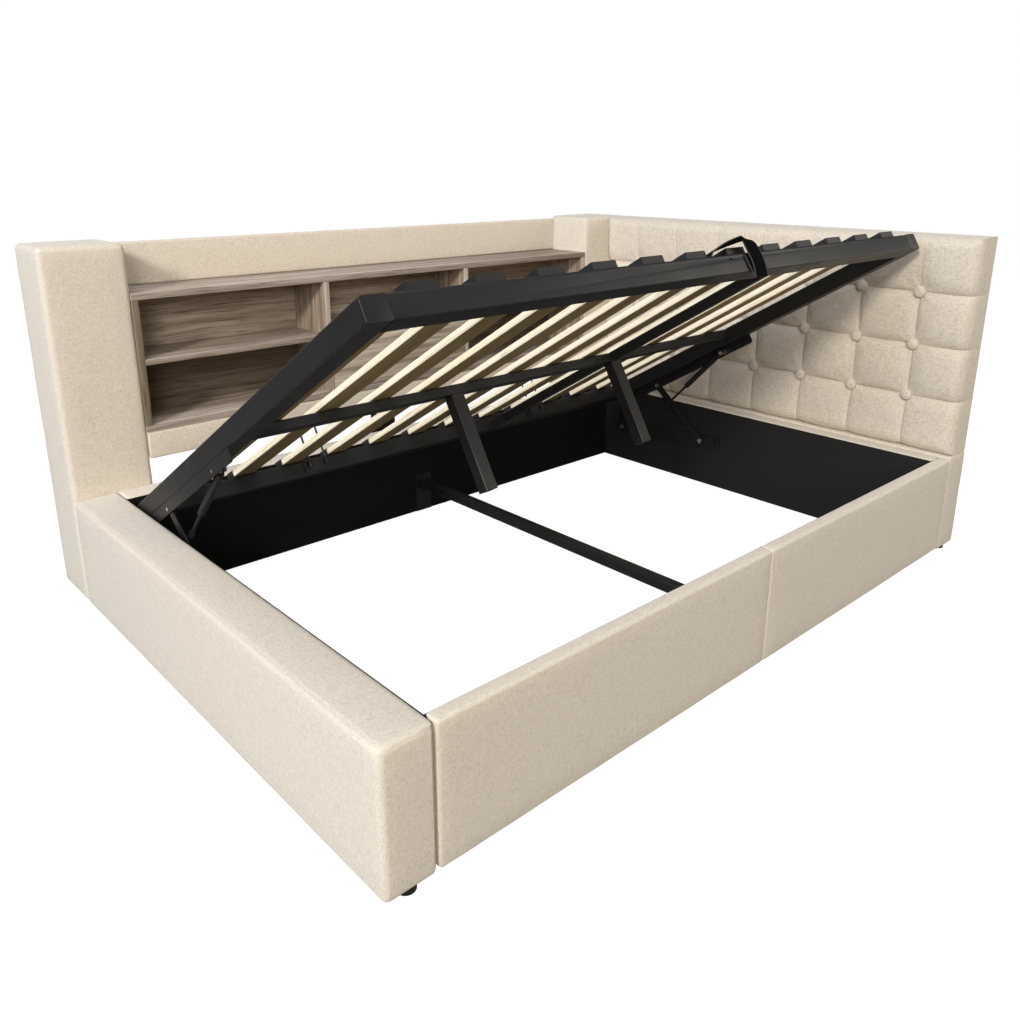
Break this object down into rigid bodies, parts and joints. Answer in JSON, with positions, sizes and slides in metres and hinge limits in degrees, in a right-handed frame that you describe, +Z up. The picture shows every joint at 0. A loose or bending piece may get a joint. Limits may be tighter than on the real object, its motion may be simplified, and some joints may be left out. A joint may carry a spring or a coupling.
{
  "type": "ottoman bed",
  "caption": "Upholstered storage bed with a tufted headboard at one end, a bookcase along the back and a slatted platform that lifts at the side on gas struts.",
  "frame": {"origin": "middle of the outline on the floor", "axes": "+X towards the headboard, +Y towards the bookcase, +Z up"},
  "size_m": [2.13, 1.5674, 0.9863],
  "materials": {
    "linen": "woven linen-look upholstery fabric over padding",
    "lining": "matt black board",
    "oak": "grey-brown oak laminate",
    "black_plastic": "satin black moulded plastic",
    "black_steel": "satin black powder-coated steel",
    "pine": "planed pine",
    "webbing": "black woven webbing",
    "bright_steel": "bright zinc-plated steel"
  },
  "bodies": {
    "base": {"left_board": "linen", "front_rail_left": "linen", "front_rail_right": "linen", "right_board": "linen", "end_rail": "linen", "back_rail": "linen", "lining_left": "lining", "lining_front": "lining", "lining_right": "lining", "lining_back": "lining", "left_post": "linen", "right_post": "linen", "headboard": "linen", "headboard_buttons": "linen", "top_panel": "linen", "lower_panel": "linen", "case_top": "oak", "case_bottom": "oak", "case_left_side": "oak", "case_right_side": "oak", "case_dividers": "oak", "case_shelves": "oak", "case_back": "oak", "case_leg": "black_plastic", "centre_beam": "black_steel", "beam_brackets": "black_steel", "feet": "black_plastic", "base_plate_left": "black_steel", "base_plate_right": "black_steel", "base_pins": "bright_steel", "base_bolts": "black_steel"},
    "drawer": {"drawer_front": "oak", "drawer_box": "oak"},
    "front_arms": {"front_arm_left": "black_steel", "front_arm_right": "black_steel"},
    "rear_arms": {"rear_arm_left": "black_steel", "rear_arm_right": "black_steel"},
    "platform": {"front_tube": "black_steel", "rear_tube": "black_steel", "left_tube": "black_steel", "right_tube": "black_steel", "tube_caps": "black_plastic", "cross_bar": "black_steel", "mid_bar": "black_steel", "support_legs": "black_steel", "leg_caps": "black_plastic", "slats": "pine", "slat_holders": "black_plastic", "lift_strap": "webbing", "mattress_stops": "black_steel", "stop_brackets": "black_steel", "left_hanger": "black_steel", "right_hanger": "black_steel", "hanger_pins": "bright_steel"},
    "strut_cylinders": {"strut_cylinder_left": "black_steel", "strut_cylinder_right": "black_steel"},
    "strut_rods": {"strut_rod_left": "black_steel", "strut_rod_right": "black_steel"}
  },
  "joints": [
    {"name": "platform_lift", "type": "hinge", "parent": "base", "child": "front_arms", "pos_m": [0, 0.06325, 0.175], "axis": [1, 0, 0], "range_deg": [-29.56, 0], "stiffness_Nm_per_rad": 150, "springref_deg": 114.59},
    {"name": "platform_tilt", "type": "hinge", "parent": "front_arms", "child": "platform", "pos_m": [0, 0.26914, 0.34407], "axis": [1, 0, 0], "range_deg": [0, 60.57]},
    {"name": "rear_arm_swing", "type": "hinge", "parent": "base", "child": "rear_arms", "pos_m": [0, 0.43325, 0.148], "axis": [1, 0, 0], "range_deg": [-50.38, 0]},
    {"name": "strut_swing", "type": "hinge", "parent": "platform", "child": "strut_cylinders", "pos_m": [0, -0.01201, 0.513], "axis": [1, 0, 0], "range_deg": [0, 11.63]},
    {"name": "strut_slide", "type": "slide", "parent": "strut_cylinders", "child": "strut_rods", "axis": [0, 0.6941, -0.7199], "range_m": [-0.0657, 0]},
    {"name": "drawer_slide", "type": "slide", "parent": "base", "child": "drawer", "axis": [0, -1, 0], "range_m": [0, 0.12]}
  ],
  "couplings": [
    {"joint": "platform_tilt", "follows": "platform_lift", "ratio": -2.0488},
    {"joint": "rear_arm_swing", "follows": "platform_lift", "ratio": 1.7042},
    {"joint": "strut_swing", "follows": "platform_lift", "ratio": -0.39318},
    {"joint": "strut_slide", "follows": "platform_lift", "m_per_rad": 0.12732}
  ]
}
